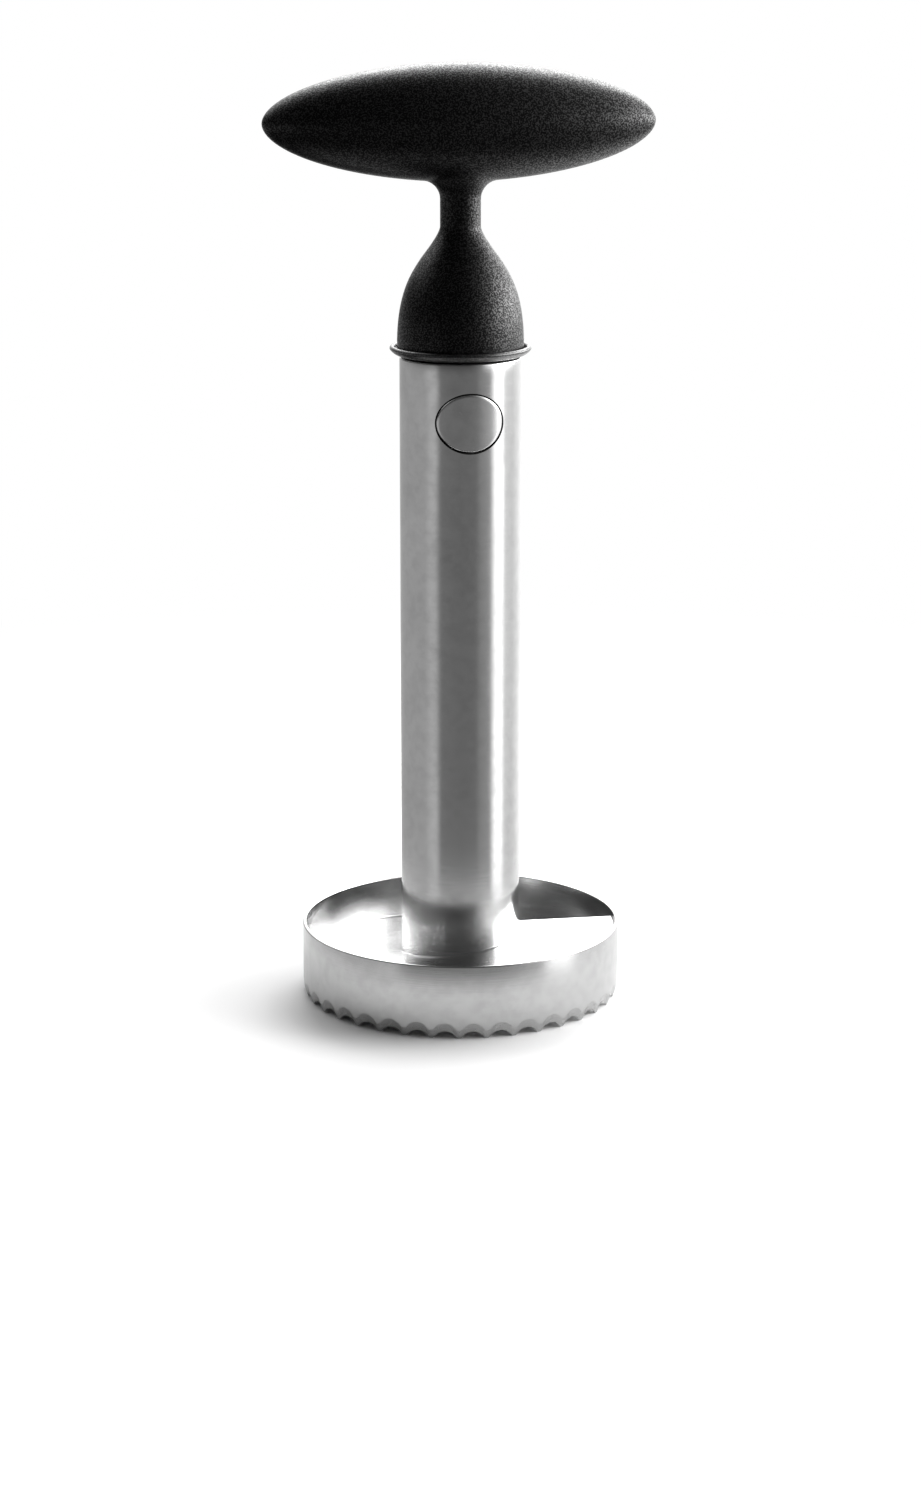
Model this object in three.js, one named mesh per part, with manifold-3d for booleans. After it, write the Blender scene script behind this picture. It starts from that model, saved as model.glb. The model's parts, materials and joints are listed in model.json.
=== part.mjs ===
// Pineapple slicer. A steel tube with one turn of spiral blade inside a serrated cutting ring, and a T-handle
// whose plug is latched into the tube by a sprung push button.
// Millimetres. +Z runs up the tube, the grip lies along X and the button faces -Y. The origin is on the
// tube's axis, at the level of the ring's teeth.

import * as THREE from 'three';
import { mergeVertices, toCreasedNormals } from 'three/addons/utils/BufferGeometryUtils.js';
import Module from 'manifold-3d';

const wasm = await Module();
wasm.setup();

// Core tube
const tubeDiameter = 32;
const tubeWall = 0.8;
const tubeRimHeight = 173.7;
const tubeRimRound = 0.5;
const tubeToothRise = 1;
const tubeToothCount = 14;
const tubeToothChord = 5.9;
const tubeToothDepth = 1.8;
const tubeEdgeBevel = 0.4;
const tubeEdgeBevelHeight = 2.4;

// Cutting ring
const ringDiameter = 86;
const ringWall = 1;
const ringHeight = 20;
const ringToothCount = 36;
const ringToothChord = 6.2;
const ringToothDepth = 1.9;
const ringEdgeBevel = 0.45;
const ringEdgeBevelHeight = 3;
const ringTopChamfer = 0.25;

// Spiral blade
const bladePitch = 14;
const bladeThickness = 1;
const bladeLeadHeight = 3.2;
const bladeEdgeThickness = 0.25;
const bladeBevelLength = 4;
const bladeScallopCount = 4;
const bladeScallopDepth = 1.5;
const bladeScallopLand = 1;

// Handle shells
const gripLength = 102.6;
const gripHeight = 30.3;
const gripRise = 60.2;
const gripRoundnessShare = 1.87;
const neckDiameter = 10.6;
const neckFillet = 4.5;
const filletRoundShare = 0.55;
const bellDiameter = 33.2;
const bellShoulderRise = 2.85;
const bellTopRise = 33.75;
const bellFootEdge = 0.4;
const shellWall = 2.2;
const pinDiameter = 3;
const pinLength = 3.5;
const pinBossWall = 1.2;
const pinBossCoreGap = 1.6;
const pinBossSpread = 21;
const pinBossLift = 7.8;
const ribThickness = 1.6;
const ribSpread = 15;
const ribCoreEndInset = 6;

// Handle core
const coreBarDiameter = 10;
const coreBarEndInset = 13.3;
const coreBarChamfer = 1.5;
const coreFootHeight = 9;
const coreConeHeight = 11;

// Collar ring
const collarThickness = 1.3;
const collarLipDiameter = 32.6;
const collarFlareBulge = 0.22;
const collarStepHeight = 0.25;
const collarStepInset = 0.6;
const collarRimDiameter = 37.1;
const collarRimHeight = 2.85;
const collarRimThickness = 1.3;
const collarFloorRound = 0.4;

// Tube plug
const plugWall = 2;
const plugHeadThickness = 3.2;
const plugLeadIn = 1;
const plugSleeveWall = 1.3;
const plugSleeveReach = 6.5;
const spigotDiameter = 24;
const slideClearance = 0.2;

// Plug screws
const screwDiameter = 4;
const screwLength = 14;
const screwHeadDiameter = 7;
const screwHeadHeight = 2.4;
const screwSlotWidth = 1;
const screwSlotDepth = 1.1;
const screwSpread = 8;

// End cap with the spring carrier
const capFloor = 2;
const capSkirtHeight = 4.8;
const capSkirtWall = 1.3;
const carrierWidth = 13;
const carrierThickness = 2;
const carrierSetback = 4;
const carrierHeadroom = 0.5;
const springPostDiameter = 4.2;
const springPostLength = 4.5;

// Push button
const buttonDrop = 15.4;
const buttonWidth = 17.2;
const buttonHeight = 15;
const buttonProud = 0.2;
const buttonCrownRadius = 17;
const buttonChamfer = 0.3;
const buttonCapDepth = 3.2;
const holeGap = 0.4;
const pocketGap = 0.25;
const plungerShrink = 0.1;
const flangeOverhang = 1;
const flangeThickness = 1.5;
const springPocketDiameter = 7.6;
const springPocketDepth = 3.2;

// Button spring
const springDiameter = 6.4;
const springWire = 0.7;
const springTurnCount = 7;

// Gap between pieces that bear on each other, and how far a cutting tool runs past what it cuts
const seatGap = 0.3;
const overrun = 4;

// Facets
const tubeSides = 56;
const ringSides = 72;
const bladeSteps = 60;
const barSides = 32;
const barSteps = 18;
const hollowSides = 20;
const hollowSteps = 12;
const stemSides = 32;
const bellSteps = 5;
const filletSteps = 3;
const plugSides = 36;
const collarSides = 40;
const rimSteps = 5;
const flareSteps = 3;
const tubeRimSteps = 3;
const crownSteps = 3;
const ovalSides = 32;
const holeSides = 12;
const scallopSides = 16;
const springSides = 6;
const springStepsPerTurn = 8;
const mergeDistance = 0.0005;
const creaseAngle = Math.PI / 6;

// Places that follow from the sizes above
const tubeRadius = tubeDiameter / 2;
const boreRadius = tubeRadius - tubeWall;
const seatHeight = tubeRimHeight + seatGap;
const gripCentreHeight = tubeRimHeight + gripRise;
const bellFootHeight = seatHeight + collarThickness + seatGap;
const buttonCentreHeight = tubeRimHeight - buttonDrop;
const plugRadius = boreRadius - slideClearance;
const plugBoreRadius = plugRadius - plugWall;
const sleeveUnderside = buttonCentreHeight - buttonHeight / 2 - pocketGap - plugSleeveWall;
const plugBottomHeight = sleeveUnderside - seatGap - capSkirtHeight;
const plugHeadUnderside = tubeRimHeight - plugHeadThickness;
const screwHeadTop = plugHeadUnderside - seatGap;
const spigotTopHeight = bellFootHeight;
const coreFootBottom = spigotTopHeight + seatGap;
const coreFootTop = coreFootBottom + coreFootHeight;
const sleeveEnd = -(plugRadius - plugSleeveReach);
const buttonFace = -(tubeRadius + buttonProud);
const capBack = buttonFace + buttonCapDepth;
const flangeFront = sleeveEnd + seatGap;
const flangeBack = flangeFront + flangeThickness;
const coreBarHalf = gripLength / 2 - coreBarEndInset;
const pinBossRadius = pinDiameter / 2 + seatGap + pinBossWall;
const pinBossEndSpread = coreBarHalf + seatGap + pinBossRadius + pinBossCoreGap;
const ribEndSpread = coreBarHalf - ribCoreEndInset;

// Closed solids from three.js geometry, and back

function closed(geometry) {
  geometry.deleteAttribute('normal');
  geometry.deleteAttribute('uv');
  const merged = mergeVertices(geometry, mergeDistance);
  const corners = merged.index.array;
  const kept = [];
  for (let at = 0; at < corners.length; at += 3) {
    const [a, b, c] = corners.slice(at, at + 3);
    if (a !== b && b !== c && c !== a) {
      kept.push(a, b, c);
    }
  }
  merged.setIndex(kept);
  return merged;
}

function solid(geometry) {
  const shape = closed(geometry);
  const mesh = new wasm.Mesh({
    numProp: 3,
    vertProperties: new Float32Array(shape.attributes.position.array),
    triVerts: new Uint32Array(shape.index.array),
  });
  return new wasm.Manifold(mesh);
}

function surface(body) {
  const mesh = body.getMesh();
  const geometry = new THREE.BufferGeometry();
  geometry.setAttribute('position', new THREE.BufferAttribute(mesh.vertProperties, 3));
  geometry.setIndex(new THREE.BufferAttribute(mesh.triVerts, 1));
  return geometry;
}

function joined(first, ...others) {
  return others.reduce((sum, geometry) => sum.add(solid(geometry)), solid(first));
}

function without(body, ...tools) {
  return tools.reduce((rest, geometry) => rest.subtract(solid(geometry)), body);
}

// Basic forms

function turned(outline, sides) {
  const points = outline.map(([radius, height]) => new THREE.Vector2(radius, height));
  return new THREE.LatheGeometry(points, sides).rotateX(Math.PI / 2);
}

function rod(radius, from, to, sides) {
  return turned([[0, from], [radius, from], [radius, to], [0, to]], sides);
}

function block(low, high) {
  const size = high.map((value, axis) => value - low[axis]);
  const middle = high.map((value, axis) => (value + low[axis]) / 2);
  return new THREE.BoxGeometry(...size).translate(...middle);
}

function arc(centre, radius, from, to, steps) {
  const points = [];
  for (let step = 0; step <= steps; step += 1) {
    const turn = from + (to - from) * step / steps;
    points.push([centre[0] + radius * Math.cos(turn), centre[1] + radius * Math.sin(turn)]);
  }
  return points;
}

// A closed skin over rings of as many points each, with a fan over either end.
// Seen from where the last ring looks, each ring runs counterclockwise.
function loft(rings) {
  const count = rings[0].length;
  const points = rings.flat();
  const faces = [];
  for (let ring = 0; ring + 1 < rings.length; ring += 1) {
    for (let at = 0; at < count; at += 1) {
      const a = ring * count + at;
      const b = ring * count + (at + 1) % count;
      faces.push(a, b, b + count, a, b + count, a + count);
    }
  }
  const last = (rings.length - 1) * count;
  for (const [start, forward] of [[0, false], [last, true]]) {
    const ring = points.slice(start, start + count);
    points.push(ring[0].map((_, axis) => ring.reduce((sum, point) => sum + point[axis], 0) / count));
    for (let at = 0; at < count; at += 1) {
      const a = start + at;
      const b = start + (at + 1) % count;
      faces.push(points.length - 1, forward ? a : b, forward ? b : a);
    }
  }
  const geometry = new THREE.BufferGeometry();
  geometry.setAttribute('position', new THREE.Float32BufferAttribute(points.flat(), 3));
  geometry.setIndex(faces);
  return geometry;
}

// An upright oval prism that runs along Y
function oval(width, height, from, to) {
  const shape = new THREE.Shape();
  shape.absellipse(0, 0, width / 2, height / 2, 0, 2 * Math.PI);
  const settings = { depth: to - from, bevelEnabled: false, curveSegments: ovalSides / 2 };
  const prism = new THREE.ExtrudeGeometry(shape, settings);
  return prism.rotateX(Math.PI / 2).translate(0, to, buttonCentreHeight);
}

// A radial row of round notches that leaves flat lands between them, for a serrated edge at one height
function notches(radius, wall, count, chord, depth, edge) {
  const curve = (chord * chord / 4 + depth * depth) / (2 * depth);
  const tools = [];
  for (let tooth = 0; tooth < count; tooth += 1) {
    const tool = rod(curve, radius - wall - overrun, radius + overrun, scallopSides);
    tool.rotateY(Math.PI / 2).translate(0, 0, edge + depth - curve);
    tools.push(tool.rotateZ(2 * Math.PI * (tooth + 1 / 2) / count));
  }
  return tools;
}

// Cutter: tube, ring and blade

function coreTube() {
  const rim = [tubeRadius - tubeRimRound, tubeRimHeight - tubeRimRound];
  const outline = [
    [boreRadius, tubeToothRise],
    [tubeRadius - tubeEdgeBevel, tubeToothRise],
    [tubeRadius, tubeToothRise + tubeEdgeBevelHeight],
    ...arc(rim, tubeRimRound, 0, Math.PI / 2, tubeRimSteps),
    [boreRadius, tubeRimHeight],
    [boreRadius, tubeToothRise],
  ];
  const pipe = solid(turned(outline, tubeSides));
  const hole = oval(
    buttonWidth + 2 * holeGap,
    buttonHeight + 2 * holeGap,
    -tubeRadius - overrun,
    -tubeRadius / 2,
  );
  const teeth = notches(tubeRadius, tubeWall, tubeToothCount, tubeToothChord, tubeToothDepth, tubeToothRise);
  return without(pipe, hole, ...teeth);
}

function cuttingRing() {
  const outer = ringDiameter / 2;
  const inner = outer - ringWall;
  const outline = [
    [inner, 0],
    [outer - ringEdgeBevel, 0],
    [outer, ringEdgeBevelHeight],
    [outer, ringHeight - ringTopChamfer],
    [outer - ringTopChamfer, ringHeight],
    [inner + ringTopChamfer, ringHeight],
    [inner, ringHeight - ringTopChamfer],
    [inner, 0],
  ];
  const band = solid(turned(outline, ringSides));
  return without(band, ...notches(outer, ringWall, ringToothCount, ringToothChord, ringToothDepth, 0));
}

// One turn of a helical plate, ground to an edge along its lower, leading end, with a scalloped cutting edge
function spiralBlade() {
  const inner = tubeRadius + seatGap;
  const outer = ringDiameter / 2 - ringWall - seatGap;
  const bevelTurn = bladeBevelLength / outer;
  const rings = [];
  const section = (turn, thickness) => {
    const low = bladeLeadHeight + bladePitch * turn / (2 * Math.PI);
    const corners = [[inner, low], [inner, low + thickness], [outer, low + thickness], [outer, low]];
    rings.push(corners.map(([radius, z]) => [radius * Math.cos(turn), radius * Math.sin(turn), z]));
  };
  section(0, bladeEdgeThickness);
  for (let step = 0; step <= bladeSteps; step += 1) {
    section(bevelTurn + (2 * Math.PI - bevelTurn) * step / bladeSteps, bladeThickness);
  }
  const width = (outer - inner) / bladeScallopCount;
  const chord = width - bladeScallopLand;
  const curve = (chord * chord / 4 + bladeScallopDepth * bladeScallopDepth) / (2 * bladeScallopDepth);
  const tools = [];
  for (let scallop = 0; scallop < bladeScallopCount; scallop += 1) {
    const tool = rod(curve, 0, bladeLeadHeight + overrun, scallopSides);
    tools.push(tool.translate(inner + width * (scallop + 1 / 2), bladeScallopDepth - curve, 0));
  }
  return without(solid(loft(rings)), ...tools);
}

// Handle shells: bar, neck and bell, hollow and split along the plane of the T

function barRadius(along, inset) {
  const share = Math.min(Math.abs(along) / (gripLength / 2 - inset), 1);
  return (gripHeight / 2 - inset) * (1 - share ** gripRoundnessShare) ** (1 / gripRoundnessShare);
}

function bar(inset, steps, sides) {
  const power = 2 / gripRoundnessShare;
  const outline = [];
  for (let step = 0; step <= steps; step += 1) {
    const turn = Math.PI * step / steps;
    const along = -Math.sign(Math.cos(turn)) * Math.abs(Math.cos(turn)) ** power;
    const out = Math.abs(Math.sin(turn)) ** power;
    outline.push([out * (gripHeight / 2 - inset), along * (gripLength / 2 - inset)]);
  }
  outline[0][0] = 0;
  outline[steps][0] = 0;
  return turned(outline, sides).rotateY(Math.PI / 2).translate(0, 0, gripCentreHeight);
}

// Radius and height shares of the two curves in the bell's side, from its shoulder line up to the neck
const bellLowerShares = [[1, 0], [1, 0.44], [0.665, 0.604], [0.475, 0.713]];
const bellUpperShares = [[0.475, 0.713], [0.394, 0.76], [0, 0.929], [0, 1]];

function bellSide(inset) {
  const neck = neckDiameter / 2;
  const rise = bellTopRise - bellShoulderRise;
  const [lower, upper] = [bellLowerShares, bellUpperShares].map((shares) => {
    const through = shares.map(([out, up]) => new THREE.Vector2(
      neck + (bellDiameter / 2 - neck) * out - inset,
      tubeRimHeight + bellShoulderRise + rise * up,
    ));
    return new THREE.CubicBezierCurve(...through).getPoints(bellSteps).map(({ x, y }) => [x, y]);
  });
  return [...lower, ...upper.slice(1)];
}

function level(radius, height, sides = stemSides) {
  const ring = [];
  for (let side = 0; side < sides; side += 1) {
    const turn = 2 * Math.PI * side / sides;
    ring.push([radius * Math.cos(turn), radius * Math.sin(turn), height]);
  }
  return ring;
}

// The fillet between neck and bar is a saddle: all round, it runs from the neck's side to the bar's underside
function saddle() {
  const neck = neckDiameter / 2;
  const out = neck + neckFillet;
  const under = (x, y) => gripCentreHeight - Math.sqrt(barRadius(x, 0) ** 2 - y * y);
  const rings = Array.from({ length: filletSteps + 1 }, () => []);
  for (let side = 0; side < stemSides; side += 1) {
    const turn = 2 * Math.PI * side / stemSides;
    const [cos, sin] = [Math.cos(turn), Math.sin(turn)];
    const corner = new THREE.Vector2(neck, under(neck * cos, neck * sin));
    const start = new THREE.Vector2(neck, corner.y - neckFillet);
    const end = new THREE.Vector2(out, under(out * cos, out * sin));
    const curve = new THREE.CubicBezierCurve(
      start,
      start.clone().lerp(corner, filletRoundShare),
      end.clone().lerp(corner, filletRoundShare),
      end,
    );
    curve.getPoints(filletSteps).forEach(({ x, y }, step) => rings[step].push([x * cos, x * sin, y]));
  }
  return rings;
}

function stem() {
  return loft([
    level(bellDiameter / 2 - bellFootEdge, bellFootHeight),
    level(bellDiameter / 2, bellFootHeight + bellFootEdge),
    ...bellSide(0).map(([radius, height]) => level(radius, height)),
    ...saddle(),
    level(neckDiameter / 2, gripCentreHeight),
  ]);
}

function stemHollow() {
  const side = bellSide(shellWall);
  return loft([
    level(side[0][0], bellFootHeight - overrun, hollowSides),
    ...side.map(([radius, height]) => level(radius, height, hollowSides)),
    level(neckDiameter / 2 - shellWall, gripCentreHeight, hollowSides),
  ]);
}

// The rear shell has side 1 and the front shell side -1
function behind(side) {
  const far = [gripLength / 2 + overrun, gripLength / 2, gripCentreHeight + gripHeight];
  const low = [-far[0], Math.min(0, side * far[1]), bellFootHeight - 2 * overrun];
  const high = [far[0], Math.max(0, side * far[1]), far[2]];
  return block(low, high);
}

const pinPlaces = [
  [-pinBossEndSpread, 0],
  [pinBossEndSpread, 0],
  [-pinBossSpread, pinBossLift],
  [pinBossSpread, pinBossLift],
];

function across(radius, from, to, x, z) {
  return rod(radius, from, to, holeSides).rotateX(-Math.PI / 2).translate(x, 0, z);
}

// The front shell's pins stand in the rear shell's sockets. Ribs in both shells hold the core's bar.
function gripShell(side) {
  const skin = joined(bar(0, barSteps, barSides), stem());
  const hollow = joined(bar(shellWall, hollowSteps, hollowSides), stemHollow());
  const middle = solid(bar(shellWall / 2, hollowSteps, hollowSides)).subtract(solid(stemHollow()));
  const depth = gripHeight / 2;
  const reach = side < 0 ? [-depth, 0] : [0, depth];
  const bosses = pinPlaces.map(([x, lift]) => {
    return across(pinBossRadius, ...reach, x, gripCentreHeight + lift);
  });
  const ribs = [-ribEndSpread, -ribSpread, ribSpread, ribEndSpread].map((x) => block(
    [x - ribThickness / 2, reach[0], gripCentreHeight - gripHeight / 2],
    [x + ribThickness / 2, reach[1], gripCentreHeight + gripHeight / 2],
  ));
  const inside = joined(...bosses, ...ribs).intersect(middle);
  const barSeat = coreBarDiameter / 2 + seatGap;
  const seat = rod(barSeat, -coreBarHalf - seatGap, coreBarHalf + seatGap, stemSides);
  seat.rotateY(Math.PI / 2).translate(0, 0, gripCentreHeight);
  const fitted = without(inside, seat);
  const shell = without(skin.subtract(hollow).add(fitted), behind(-side));
  if (side > 0) {
    const sockets = pinPlaces.map(([x, lift]) => {
      return across(pinDiameter / 2 + seatGap, -overrun, pinLength + seatGap, x, gripCentreHeight + lift);
    });
    return without(shell, ...sockets);
  }
  const pins = pinPlaces.map(([x, lift]) => {
    return across(pinDiameter / 2, -pinLength, pinLength, x, gripCentreHeight + lift);
  });
  return pins.reduce((sum, pin) => sum.add(solid(pin)), shell);
}

// Stiff T inside the shells: a round bar, a post through the neck, and a foot that fills the bell

function gripCore() {
  const wall = shellWall + seatGap;
  const post = neckDiameter / 2 - wall;
  const side = bellSide(wall);
  const above = side.findIndex(([, height]) => height > coreFootTop);
  const [[lowRadius, lowHeight], [highRadius, highHeight]] = side.slice(above - 1, above + 1);
  const share = (coreFootTop - lowHeight) / (highHeight - lowHeight);
  const foot = turned([
    [0, coreFootBottom],
    [side[0][0], coreFootBottom],
    ...side.slice(0, above),
    [THREE.MathUtils.lerp(lowRadius, highRadius, share), coreFootTop],
    [post, coreFootTop + coreConeHeight],
    [post, gripCentreHeight],
    [0, gripCentreHeight],
  ], plugSides);
  const radius = coreBarDiameter / 2;
  const crossbar = turned([
    [0, -coreBarHalf],
    [radius - coreBarChamfer, -coreBarHalf],
    [radius, -coreBarHalf + coreBarChamfer],
    [radius, coreBarHalf - coreBarChamfer],
    [radius - coreBarChamfer, coreBarHalf],
    [0, coreBarHalf],
  ], stemSides).rotateY(Math.PI / 2).translate(0, 0, gripCentreHeight);
  const top = plugHeadUnderside + screwLength + seatGap;
  const holes = [-screwSpread, screwSpread].map((x) => {
    return rod(screwDiameter / 2 + seatGap, coreFootBottom - overrun, top, holeSides).translate(x, 0, 0);
  });
  return without(joined(foot, crossbar), ...holes);
}

// Flared dish under the bell, with a bulging side and a rounded rim. Its stepped floor lies on the tube's rim
// and the plug's shoulder.
function collarRing() {
  const hole = spigotDiameter / 2 + seatGap;
  const lip = collarLipDiameter / 2;
  const round = collarRimThickness / 2;
  const rim = [collarRimDiameter / 2 - round, tubeRimHeight + collarRimHeight - round];
  const floor = seatHeight + collarThickness;
  const inner = rim[0] - round;
  const step = seatHeight + collarStepHeight;
  const roll = arc(rim, round, -Math.PI / 6, Math.PI, rimSteps);
  const foot = new THREE.Vector2(lip, step);
  const top = new THREE.Vector2(...roll[0]);
  const along = top.clone().sub(foot).normalize();
  const bulge = new THREE.Vector2(along.y, -along.x).multiplyScalar(2 * collarFlareBulge);
  const flare = new THREE.QuadraticBezierCurve(foot, foot.clone().lerp(top, 1 / 2).add(bulge), top);
  return solid(turned([
    [hole, seatHeight],
    [lip - collarStepInset, seatHeight],
    [lip - collarStepInset, step],
    ...flare.getPoints(flareSteps).map(({ x, y }) => [x, y]),
    ...roll.slice(1),
    [inner - collarFloorRound / 2, floor + collarFloorRound],
    [inner - collarFloorRound, floor],
    [hole, floor],
    [hole, seatHeight],
  ], collarSides));
}

// Moulded cup that slides into the tube, with the button's sleeve through its front wall
function tubePlug() {
  const cup = turned([
    [0, plugHeadUnderside],
    [plugBoreRadius, plugHeadUnderside],
    [plugBoreRadius, plugBottomHeight],
    [plugRadius - plugLeadIn, plugBottomHeight],
    [plugRadius, plugBottomHeight + plugLeadIn],
    [plugRadius, tubeRimHeight],
    [spigotDiameter / 2, tubeRimHeight],
    [spigotDiameter / 2, spigotTopHeight],
    [0, spigotTopHeight],
  ], plugSides);
  const width = buttonWidth + 2 * pocketGap;
  const height = buttonHeight + 2 * pocketGap;
  const wide = 2 * plugSleeveWall;
  const bodyOfPlug = rod(plugRadius - plugWall / 2, plugBottomHeight, tubeRimHeight, plugSides);
  const tunnel = oval(width + wide, height + wide, -plugRadius, sleeveEnd);
  const sleeve = solid(tunnel).intersect(solid(bodyOfPlug));
  const reach = [plugHeadUnderside - overrun, spigotTopHeight + overrun];
  const screwHoles = [-screwSpread, screwSpread].map((x) => {
    return rod(screwDiameter / 2 + seatGap, ...reach, holeSides).translate(x, 0, 0);
  });
  const pocket = oval(width, height, -plugRadius - overrun, sleeveEnd + seatGap);
  return without(solid(cup).add(sleeve), pocket, ...screwHoles);
}

// Pan-head screw, driven from inside the plug up into the core's foot
function plugScrew(x) {
  const low = screwHeadTop - screwHeadHeight;
  const head = screwHeadDiameter / 2;
  const shank = screwDiameter / 2;
  const tip = plugHeadUnderside + screwLength;
  const body = turned([
    [0, low],
    [head - screwHeadHeight / 2, low],
    [head, low + screwHeadHeight / 2],
    [head, screwHeadTop],
    [shank, screwHeadTop],
    [shank, tip - shank],
    [0, tip],
  ], holeSides);
  const slots = [[head, screwSlotWidth / 2], [screwSlotWidth / 2, head]].map(([halfX, halfY]) => {
    return block([-halfX, -halfY, low - overrun], [halfX, halfY, low + screwSlotDepth]);
  });
  return solid(surface(without(solid(body), ...slots)).translate(x, 0, 0));
}

// Cap that closes the plug's lower end, with an upright wall and a post that carry the button's spring
function plugEndCap() {
  const radius = plugBoreRadius - seatGap;
  const bottom = plugBottomHeight;
  const cup = turned([
    [0, bottom],
    [radius, bottom],
    [radius, bottom + capSkirtHeight],
    [radius - capSkirtWall, bottom + capSkirtHeight],
    [radius - capSkirtWall, bottom + capFloor],
    [0, bottom + capFloor],
  ], plugSides);
  const wallTop = screwHeadTop - screwHeadHeight - carrierHeadroom;
  const wall = block(
    [-carrierWidth / 2, carrierSetback, bottom + capFloor / 2],
    [carrierWidth / 2, carrierSetback + carrierThickness, wallTop],
  );
  const post = across(
    springPostDiameter / 2,
    carrierSetback - springPostLength,
    carrierSetback + carrierThickness / 2,
    0,
    buttonCentreHeight,
  );
  return joined(cup, wall, post);
}

// Oval steel button with a crowned face and a chamfered edge
function buttonCap() {
  const ring = (inset, share, y) => {
    const points = [];
    for (let side = 0; side < ovalSides; side += 1) {
      const turn = 2 * Math.PI * side / ovalSides;
      const x = (buttonWidth / 2 - inset) * share * Math.cos(turn);
      const z = (buttonHeight / 2 - inset) * share * Math.sin(turn);
      points.push([x, y(x), buttonCentreHeight + z]);
    }
    return points;
  };
  const crown = (x) => buttonFace + buttonCrownRadius - Math.sqrt(buttonCrownRadius ** 2 - x * x);
  const face = [];
  for (let step = crownSteps; step >= 0; step -= 1) {
    face.push(ring(buttonChamfer, step / crownSteps, crown));
  }
  return solid(loft([
    ring(0, 1, () => capBack),
    ring(0, 1, (x) => crown(x) + buttonChamfer),
    ...face,
  ]));
}

// Plastic slide behind the button: the flange stops it against the sleeve, the spring sits in its pocket
function buttonPlunger() {
  const width = buttonWidth - 2 * plungerShrink;
  const height = buttonHeight - 2 * plungerShrink;
  const wide = 2 * (flangeOverhang + plungerShrink);
  const pocket = across(
    springPocketDiameter / 2,
    flangeBack - springPocketDepth,
    flangeBack + overrun,
    0,
    buttonCentreHeight,
  );
  const slide = solid(oval(width, height, capBack + seatGap, flangeBack));
  const bore = rod(plugBoreRadius - seatGap, plugBottomHeight, plugHeadUnderside, plugSides);
  const flange = solid(oval(width + wide, height + wide, flangeFront, flangeBack)).intersect(solid(bore));
  return without(slide.add(flange), pocket);
}

function buttonSpring() {
  class Helix extends THREE.Curve {
    getPoint(share, target = new THREE.Vector3()) {
      const turn = 2 * Math.PI * springTurnCount * share;
      const radius = (springDiameter - springWire) / 2;
      const from = flangeBack - springPocketDepth + seatGap + springWire / 2;
      const to = carrierSetback - seatGap - springWire / 2;
      return target.set(
        radius * Math.cos(turn),
        from + (to - from) * share,
        buttonCentreHeight + radius * Math.sin(turn),
      );
    }
  }
  const section = new THREE.Shape();
  section.absarc(0, 0, springWire / 2, 0, 2 * Math.PI);
  const geometry = new THREE.ExtrudeGeometry(section, {
    steps: springTurnCount * springStepsPerTurn,
    curveSegments: springSides / 2,
    extrudePath: new Helix(),
  });
  return solid(geometry);
}

// Materials
const steel = () => new THREE.MeshStandardMaterial({ color: 0xb4b5b6, roughness: 0.32, metalness: 1 });
const darkSteel = () => new THREE.MeshStandardMaterial({ color: 0x8d9093, roughness: 0.4, metalness: 1 });
const castAlloy = () => new THREE.MeshStandardMaterial({ color: 0x9a9c9e, roughness: 0.6, metalness: 1 });
const blackPlastic = () => new THREE.MeshStandardMaterial({ color: 0x141415, roughness: 0.55, metalness: 0 });
const greyPlastic = () => new THREE.MeshStandardMaterial({ color: 0x2b2c2e, roughness: 0.6, metalness: 0 });

const slicer = new THREE.Group();

function piece(name, body, material) {
  const mesh = new THREE.Mesh(toCreasedNormals(surface(body), creaseAngle), material);
  mesh.name = name;
  return mesh;
}

slicer.add(
  piece('core_tube', coreTube(), steel()),
  piece('cutting_ring', cuttingRing(), steel()),
  piece('spiral_blade', spiralBlade(), steel()),
  piece('grip_front_shell', gripShell(-1), blackPlastic()),
  piece('grip_rear_shell', gripShell(1), blackPlastic()),
  piece('grip_core', gripCore(), castAlloy()),
  piece('collar_ring', collarRing(), blackPlastic()),
  piece('tube_plug', tubePlug(), greyPlastic()),
  piece('plug_screw_left', plugScrew(-screwSpread), darkSteel()),
  piece('plug_screw_right', plugScrew(screwSpread), darkSteel()),
  piece('plug_end_cap', plugEndCap(), greyPlastic()),
  piece('button_cap', buttonCap(), steel()),
  piece('button_plunger', buttonPlunger(), greyPlastic()),
  piece('button_spring', buttonSpring(), darkSteel()),
);

export default slicer;
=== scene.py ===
"""Pineapple slicer: fine meshes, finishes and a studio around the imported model.

Metres. +Z runs up the tube, the grip lies along X and the button faces -Y.
"""

import json
import math

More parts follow.
